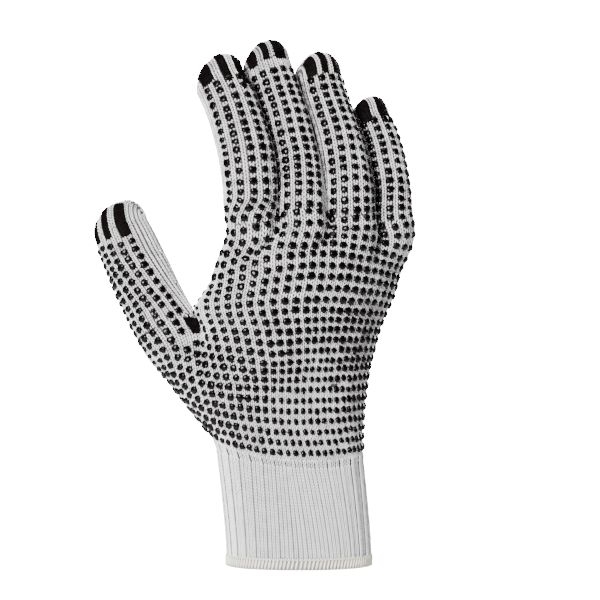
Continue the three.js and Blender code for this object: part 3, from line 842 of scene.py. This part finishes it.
HAND_KNITS = {
    "hand_stitches_low": hand_knit(lower_hand, THUMB_FOLD, JOIN_HIGH, HALF_ROW),
    "hand_stitches_middle": hand_knit(lower_hand, THUMB_FOLD, HALF_ROW, THUMB_ROW),
    "hand_stitches_high": hand_knit(palm_map, INDEX_FOLD, THUMB_ROW, FINGER_ROW),
}
STALL_KNITS = {
    n: Knit(
        STALLS[n], limb.first, limb.last, FEET[n], limb.top,
        stall_drift(n, FEET[n]), SIDE_SPACING_STALL, DOT_ENDS[n][:2], STALL_CORD)
    for n, limb in LIMBS.items()}


def all_courses(knit, low, high):
    return [knit.course(v, COURSE) for v in np.arange(low, high, COURSE)]


# Rows drift, so the courses asked for start below a piece and end above it
BELOW, ABOVE_HAND, ABOVE_STALL = 2.5, 2, 4
for name, knit in HAND_KNITS.items():
    courses = all_courses(knit, knit.low - BELOW, knit.high + ABOVE_HAND)
    knit_piece(name, joined(courses), knit_yarn, "knit", "hand_body")

QUARTER_TURN = math.pi / 2
ARC_OF_CHORD = 1.11  # a dome's quarter arc against its chord
NARROWEST = 0.55  # share of its full width that a wale keeps at the dome's sides
CAP_STEP = 0.02


def cap_stitches(limb, wale, moved, side):
    """The stitches of one wale over the dome, or none where the wale is too short."""
    way = -1 if side else 1
    u = wale + way * moved
    ends = cap_points(limb, np.array([u] * 2), side, np.array([0, QUARTER_TURN]))
    chord = np.linalg.norm(ends[1] - ends[0])
    steps = int(round(chord * ARC_OF_CHORD / LONG_STITCH))
    if steps < 1:
        return []
    rise = (np.arange(steps) + 0.5) / steps * QUARTER_TURN
    u = np.full(steps, u)

    def at(wales_on, rise_on):
        return cap_points(limb, u + wales_on, side, rise + rise_on)

    up = (at(0, CAP_STEP) - at(0, -CAP_STEP)) / (2 * CAP_STEP)
    across = way * (at(0.5, 0) - at(-0.5, 0))
    narrow = max(NARROWEST, chord / (limb.half_deep * math.sqrt(2)))
    wide = math.radians(limb.pitch) * limb.half_wide * min(1, narrow)
    return [(at(0, 0), unit(across) * wide, up * (QUARTER_TURN / steps))]


# Stitches of the stalls: courses up to the dome, then wale by wale over the cap
for n, limb in LIMBS.items():
    courses = all_courses(STALL_KNITS[n], FEET[n] - BELOW, limb.top + ABOVE_STALL)
    for side in (0.0, 1.0):
        for wale in range(limb.first, limb.last + 1):
            courses += cap_stitches(limb, wale, STALL_DRIFT[n][1], side)
    knit_piece(n + "_stitches", joined(courses), knit_yarn, "knit", NODES[n])


# Printed bars and patch
PLACES = {3: ("left", "middle", "right"), 2: ("left", "right")}
ROUNDING, FILM_THICK = 0.10, 0.9


def soft_patch(at_corner, u0, u1, w0, w1, across, up, narrow=0.0):
    """Points of a soft-cornered print between two wales and two heights, in so many
    cells across and up; narrow is the share of its width that it loses at the foot."""
    a = np.linspace(-1, 1, across + 1)[None, :]
    b = np.linspace(-1, 1, up + 1)[:, None]
    width = mix(1 - narrow, 1, (b + 1) / 2) * (1 - ROUNDING * b ** 4)
    u = mix(u0, u1, 0.5 + 0.5 * a * width)
    w = mix(w0, w1, 0.5 + 0.5 * b * (1 - ROUNDING * a ** 4))
    return at_corner(u, np.broadcast_to(w, u.shape))


def film(name, points, back, lift):
    """The thin film of a print: a sheet raised from the knit and closed downwards."""
    if back:
        points = points[:, ::-1]
    across = np.gradient(points, axis=1)
    up = np.gradient(points, axis=0)
    raised = points + outward(across, up) * lift
    cloth(name + "_film", [raised], FILM_THICK, bar_vinyl, "black_print", name)


# Lifts of the bars in mm, and the mm that one radian of rise is long on a dome
BAR_LIFT, BAR_STITCH_LIFT = 0.75, 0.4
RISE_LONG, RISE_STEP = 11.5, 0.03
# The patch: first and last wale, lowest and highest row, and how much narrower its foot is
PATCH, PATCH_NARROW = (-3.2, 0, 11.2, 12.9), 0.5
PATCH_LIFT, PATCH_STITCH_LIFT = 1.2, 0.85
# Its stitches: each course's row and number of wales, all about one middle wale
PATCH_COURSES = ((11.4, 2), (11.7, 3), (12, 3), (12.3, 4), (12.6, 4), (12.9, 4))
PATCH_MIDDLE, PATCH_PITCH, PATCH_STEP = -1.6, 0.74, 0.36
for side, panel in ((0.0, "front"), (1.0, "back")):
    way = -1 if side else 1
    for n, limb in LIMBS.items():
        own = [bar for bar in BARS if bar[0] == n]
        for (_, first, last, low, high), place in zip(own, PLACES[len(own)]):
            name = f"{n}_bar_{place}_{panel}"

            def on_tip(u, w):
                flat = tip_points(n, u.ravel(), np.full(u.size, side), w.ravel())
                return flat.reshape(*u.shape, 3)

            points = soft_patch(on_tip, first, last, low, high, 6, 18)
            film(name, points, side == 1, BAR_LIFT)
            wales = int(round(last - first))
            pitch = (last - first) / wales
            steps = int(round((high - low) * RISE_LONG / LONG_STITCH))
            u, rise = (a.ravel() for a in np.meshgrid(
                first + (np.arange(wales) + 0.5) * pitch,
                mix(low, high, (np.arange(steps) + 0.5) / steps)))
            g = np.full(len(u), side)

            def near(wales_on, rise_on):
                return tip_points(n, u + wales_on, g, rise + rise_on)

            across = way * pitch * (near(0.5, 0) - near(-0.5, 0))
            up = (near(0, RISE_STEP) - near(0, -RISE_STEP)) / (2 * RISE_STEP)
            here = near(0, 0) + outward(across, up) * BAR_STITCH_LIFT
            knit_piece(name, (here, across, up * (high - low) / steps), bar_vinyl, "black_print", name)

    def on_hand(u, w):
        rows = [lower_hand(u[i], np.full(u.shape[1], side), w[i].mean()) for i in range(len(u))]
        return np.stack(rows)

    points = soft_patch(on_hand, *PATCH, 12, 8, PATCH_NARROW)
    name = f"crotch_patch_{panel}"
    film(name, points, side == 1, PATCH_LIFT)
    courses = []
    for row, wales in PATCH_COURSES:
        u = PATCH_MIDDLE + (np.arange(wales) - (wales - 1) / 2) * PATCH_PITCH
        g = np.full(wales, side)
        here = lower_hand(u, g, row)
        across = (lower_hand(u + PATCH_STEP, g, row) - here) * 2 * way
        up = lower_hand(u, g, row + PATCH_STEP) - here
        courses.append((here + outward(across, up) * PATCH_STITCH_LIFT, across, up))
    knit_piece(name, joined(courses), bar_vinyl, "black_print", name)


# Gripping dots
EDGE_PLAY, TOP_POWER, UNDERSIDE = 0.055, 0.75, 0.8
DIMPLE_DEEP, DIMPLE_WIDE, FLATNESS = 0.16, 0.42, 0.62


def dot_shape(seed):
    """A dollop of vinyl: a flat-topped dome with a wandering edge and a small dimple."""
    bm = bmesh.new()
    bmesh.ops.create_icosphere(bm, subdivisions=2, radius=1)
    corners, faces = shape_arrays(bm)
    x, y, z = corners.T
    angle = np.arctan2(y, x)
    local = np.random.default_rng(seed)
    wander = 1 + sum(
        local.normal(0, EDGE_PLAY) * np.sin(k * angle + local.uniform(0, 2 * math.pi))
        for k in (2, 3, 4, 5))
    radius = np.hypot(x, y)
    top = np.where(z > 0, np.maximum(z, 0) ** TOP_POWER, UNDERSIDE * z)
    dimple = DIMPLE_DEEP * np.exp(-(radius / DIMPLE_WIDE) ** 2)
    made = np.stack([x * wander, y * wander, (top - dimple * (z > 0)) * FLATNESS], axis=1)
    return made, faces


DOTS = [dot_shape(seed) for seed in range(7)]
# Largest half width and half height of a dot in mm, and its shares of the wales and rows
DOT_WIDEST, DOT_TALLEST = 1.9, 1.9 * 1.05
WALE_SHARE, ROW_SHARE = 0.8, 0.42
DOT_HIGH, DOT_LIFT = 1.5, 0.7
# Play of the dots: spin in radians, size, place in mm and height
SPIN_PLAY, SIZE_PLAY, PLACE_PLAY, HIGH_PLAY = 0.25, 0.055, 0.14, 0.1
SIZE_LIMITS = (0.82, 1.12)
# Dots whose middles are less than CLOSE mm apart get smaller, and under TOO_CLOSE one goes
CLOSE, TOO_CLOSE = 3.9, 2.7
FAR_APART = 99
# First and last wale and row of the hand round the patch, where no dots are
PATCH_ROOM = (-4.3, 1, 10.4, 13.7)
# The hand's dotted wales. Wale -2 ends at the thumb's root and wale 0 over the crotch
HAND_WALES = range(-14, 43, 2)
ROOT_ROW, CROTCH_ROW = 11, 16


def dots_on(knit, wales, rows):
    """Places of the dots on the front and back of a sleeve: even wales of whole rows."""
    parts = []
    left, right, low, high = PATCH_ROOM
    for v in rows:
        front = np.array([w for w in wales(v)], float)
        behind = front[:-1] if knit.last == INDEX_FOLD else front
        n = np.concatenate([front, knit.back(behind, v)])
        u, g, row = knit.spots(n, v)
        clear = ~((u > left) & (u < right) & (row > low) & (row < high))
        parts.append(knit.frames(n[clear], float(v)))
    return joined(parts)


def dots_made(name, places, room):
    """Dots at the places; room is how far the next dot lies from each."""
    here, across, up = places
    normal = outward(across, up)
    wide, tall = (np.linalg.norm(p, axis=1, keepdims=True) for p in (across, up))
    up = unit(up)
    across = np.cross(up, normal)
    count = len(here)
    spin = seeded.normal(0, SPIN_PLAY, count)[:, None]
    size = np.clip(seeded.normal(1, SIZE_PLAY, count), *SIZE_LIMITS) * np.clip(room / CLOSE, 0.5, 1)
    size = size[:, None]
    wide = np.minimum(wide * WALE_SHARE, DOT_WIDEST) * size
    tall = np.minimum(tall * ROW_SHARE, DOT_TALLEST) * size
    here = here + across * seeded.normal(0, PLACE_PLAY, (count, 1))
    here = here + up * seeded.normal(0, PLACE_PLAY, (count, 1))
    here = here + normal * DOT_LIFT
    x_way = across * np.cos(spin) * wide + up * np.sin(spin) * tall
    y_way = up * np.cos(spin) * tall - across * np.sin(spin) * wide
    high = normal * DOT_HIGH * seeded.normal(1, HIGH_PLAY, (count, 1))
    which = seeded.integers(0, len(DOTS), count)
    many(name, DOTS, which, (here, x_way, y_way, high), dot_vinyl, "black_print")


DOT_SETS = {
    "hand_dots_low": dots_on(
        HAND_KNITS["hand_stitches_low"], lambda v: HAND_WALES, range(0, 7)),
    "hand_dots_middle": dots_on(
        HAND_KNITS["hand_stitches_middle"],
        lambda v: [w for w in HAND_WALES if w != -2 or v < ROOT_ROW], range(7, 14)),
    "hand_dots_high": dots_on(
        HAND_KNITS["hand_stitches_high"],
        lambda v: [w for w in HAND_WALES if w > 0 or w == 0 and v < CROTCH_ROW], range(14, 24)),
}
for n, (first, last, low, high) in DOT_ENDS.items():
    DOT_SETS[n + "_dots"] = dots_on(
        STALL_KNITS[n], lambda v: range(first, last + 1, 2), range(low, high + 1))
every_dot = np.concatenate([places[0] for places in DOT_SETS.values()])
apart = np.linalg.norm(every_dot[:, None] - every_dot[None], axis=2)
apart += FAR_APART * np.eye(len(every_dot))
order = np.arange(len(every_dot))
kept = ~((apart < TOO_CLOSE) & (order[None] < order[:, None])).any(axis=1)
rooms = np.where(kept[None], apart, FAR_APART).min(axis=1)
done = 0
for name, places in DOT_SETS.items():
    own = slice(done, done + len(places[0]))
    dots_made(name, [p[kept[own]] for p in places], rooms[own][kept[own]])
    done = own.stop


# Cuff and hem
RIBS = 2 * RIBS_PER_PANEL
TURN_STEP, HEIGHT_STEP = 0.02, 0.01


def cuff_frames(turn, height, rib):
    """Point, across and up on the cuff, rib mm out of its plain surface."""
    here = cuff_points(turn, height)
    across = cuff_points(turn + TURN_STEP, height) - cuff_points(turn - TURN_STEP, height)
    up = cuff_points(turn, height + HEIGHT_STEP) - cuff_points(turn, height - HEIGHT_STEP)
    here = here + outward(across, up) * np.reshape(rib, (-1, 1))
    return here, across / (2 * TURN_STEP), up / (2 * HEIGHT_STEP)


# The cloth under the ribs, coloured dark as painted shade between the stitches: it starts
# a little inside the hem, and its waves are twice RIB_WAVE mm deep, less at its top
CLOTH_LOW, CLOTH_HIGH = -0.02, 0.99
RIB_WAVE, RIB_WAVE_TOP, WAVE_TOP = 0.45, 0.25, 0.95
cuff_turns = np.linspace(0, 2, RIBS * 8 + 1)
cuff_rows = []
for height in np.linspace(CLOTH_LOW, 1, 17):
    wave = np.cos(cuff_turns * math.pi * RIBS)
    depth = RIB_WAVE if height < WAVE_TOP else RIB_WAVE_TOP
    cuff_rows.append(cuff_frames(cuff_turns, min(height, CLOTH_HIGH), (wave - 1) * depth)[0])
cloth("cuff_cloth", [np.stack(cuff_rows)], CLOTH_THICK, cuff_painted_shade, "cuff_cotton", "rib_cuff")

# Stitches of the cuff: each rib a raised wale and two sunk ones; they run on over the
# join up to the first dots
CUFF_COURSES, JOIN_COURSES, JOIN_LOW, JOIN_ROWS = 30, 3, -1.15, 1.0
# Place of each wale in its rib, and the mm that it stands out
RIB_WALES = ((0.0, 0.35), (0.34, -0.25), (0.66, -0.25))
WALE_WIDE = 0.282


def rib_frames(turn, step, rib):
    """Places of one wale of every rib in one course, on the cuff or on the join over it."""
    if step < CUFF_COURSES:
        here, across, up = cuff_frames(turn, (step + 0.5) / CUFF_COURSES, rib)
        return here, across, up / CUFF_COURSES
    turn = even(turn)
    back = turn > 1
    u = mix(THUMB_FOLD, LITTLE_FOLD, np.where(back, 2 - turn, turn))
    g = np.where(back, 1.0, 0.0)
    rows = JOIN_LOW + (step - CUFF_COURSES + np.array([0, 0.5, 1])) * JOIN_ROWS / JOIN_COURSES
    foot, here, head = (lower_hand(u, g, v) for v in rows)
    across = (np.roll(here, -1, axis=0) - np.roll(here, 1, axis=0)) / 2 * RIBS / 2
    return here + outward(across, head - foot) * rib, across, head - foot


cuff_parts = []
for step in range(CUFF_COURSES + JOIN_COURSES):
    for phase, rib in RIB_WALES:
        turn = (np.arange(RIBS) + phase) * 2 / RIBS
        here, across, up = rib_frames(turn, step, rib)
        cuff_parts.append((here, across * 2 / RIBS * WALE_WIDE, up))
knit_piece("cuff_stitches", joined(cuff_parts), cuff_yarn, "cuff_cotton", "rib_cuff")


def hem_ring(turn, out, z):
    """Points round the cuff's mouth, out mm off its oval and z mm up, and the ways out."""
    ring = cuff_points(turn, 0.0)
    ways_out = unit(ring * np.array([1, 1, 0]))
    points = ring + ways_out * out
    points[:, 2] = z
    return points, ways_out


# The hem's section, from the inside under the edge, up the outside and back in: mm out
# of the cuff's oval and mm up
HEM_PROFILE = (
    (-1.5, 0.9), (-0.9, 0.1), (0.1, 0.1), (0.75, 1.0), (0.8, 2.6),
    (0.75, 4.2), (0.3, 5.5), (-0.8, 5.3), (-1.5, 3.5), (-1.5, 0.9))
hem_turns = np.linspace(0, 2, RIBS * 6 + 1)
hem_rows = [hem_ring(hem_turns, out, z)[0] for out, z in HEM_PROFILE]
# The hem's cloth under its threads takes the same painted shade.
cloth("hem_cloth", [np.stack(hem_rows)], 0, cuff_painted_shade, "hem_cotton", "cuff_hem")


def thread_shape():
    """A length of yarn as a ball, which many() stretches."""
    bm = bmesh.new()
    bmesh.ops.create_uvsphere(bm, u_segments=6, v_segments=5, radius=1)
    return shape_arrays(bm)


# Threads of the hem: mm out and up of the middle, then half the length, the way that it
# plays and half the width, each as (round, up, out), and half the depth. First those up
# the hem's outside, then those under its edge and those along its top
HEM_THREADS = (
    (0.95, 2.9, (0.55, 2.35, 0), (1, 0, 0), (0.62, 0, 0), 0.5),
    (0.2, 0.35, (0.2, 0, 1.3), (0, 0, 0), (0.6, 0, 0), 0.42),
    (0.45, 5.2, (0.95, 0.25, 0), (0, 1, 0), (0, 0.42, 0), 0.5),
)
HEM_COUNT, HEM_PLAY = 118, 0.06
turn = np.arange(HEM_COUNT) * 2 / HEM_COUNT
round_way = unit(cuff_points(turn + 0.01, 0.0) - cuff_points(turn - 0.01, 0.0))
ways_out = hem_ring(turn, 0, 0)[1]


def way_of(parts):
    return round_way * parts[0] + np.array([0, 0, parts[1]]) + ways_out * parts[2]


threads = []
for out, z, length, swing, width, depth in HEM_THREADS:
    here = hem_ring(turn, out, z)[0]
    long = way_of(length) + way_of(swing) * seeded.normal(0, HEM_PLAY, (HEM_COUNT, 1))
    wide = way_of(width)
    threads.append((here, wide, np.cross(unit(long), unit(wide)) * depth, long))
threads = joined(threads)
which = np.zeros(len(threads[0]), int)
many("hem_threads", [thread_shape()], which, threads, hem_yarn, "hem_cotton", "cuff_hem")


# Studio
FLOOR_LOW, FLOOR_RADIUS = -0.32, 2
SKY, SKY_SEEN = 0.13, 40.0
LIT_POINT = np.array([-0.02, 0, 0.14])


def plain_material(name, colour):
    material = bpy.data.materials.new(name)
    material.use_nodes = True
    shader = material.node_tree.nodes["Principled BSDF"]
    shader.inputs["Base Color"].default_value = (*colour, 1)
    shader.inputs["Roughness"].default_value = 0.9
    return material


bm = bmesh.new()
bmesh.ops.create_circle(bm, cap_ends=True, segments=96, radius=FLOOR_RADIUS)
bmesh.ops.translate(bm, verts=bm.verts, vec=(0, 0, FLOOR_LOW))
floor_mesh = bpy.data.meshes.new("floor")
bm.to_mesh(floor_mesh)
bm.free()
floor = bpy.data.objects.new("floor", floor_mesh)
floor_mesh.materials.append(plain_material("floor_paper", (0.9, 0.9, 0.9)))
bpy.context.scene.collection.objects.link(floor)

world = bpy.data.worlds.new("studio")
world.use_nodes = True
studio = world.node_tree
seen = Paint(studio).make("ShaderNodeLightPath", output="Is Camera Ray")
backdrop = studio.nodes["Background"]
studio.links.new((SKY + SKY_SEEN * seen).socket, backdrop.inputs["Strength"])
backdrop.inputs["Color"].default_value = (1, 1, 1, 1)
bpy.context.scene.world = world

for name, place, size, power in (
    ("key", (-0.75, -1.5, 0.7), 0.45, 100),
    ("top", (-0.1, -0.1, 1.3), 0.8, 10),
    ("behind", (0.9, 1.3, 0.6), 0.9, 55),
):
    data = bpy.data.lights.new(name, "AREA")
    data.size = size
    data.energy = power
    lamp = bpy.data.objects.new(name, data)
    lamp.location = place
    aim = LIT_POINT - np.array(place)
    level = math.hypot(aim[0], aim[1])
    lamp.rotation_euler = (math.atan2(level, -aim[2]), 0, math.atan2(aim[1], aim[0]) - math.pi / 2)
    bpy.context.scene.collection.objects.link(lamp)
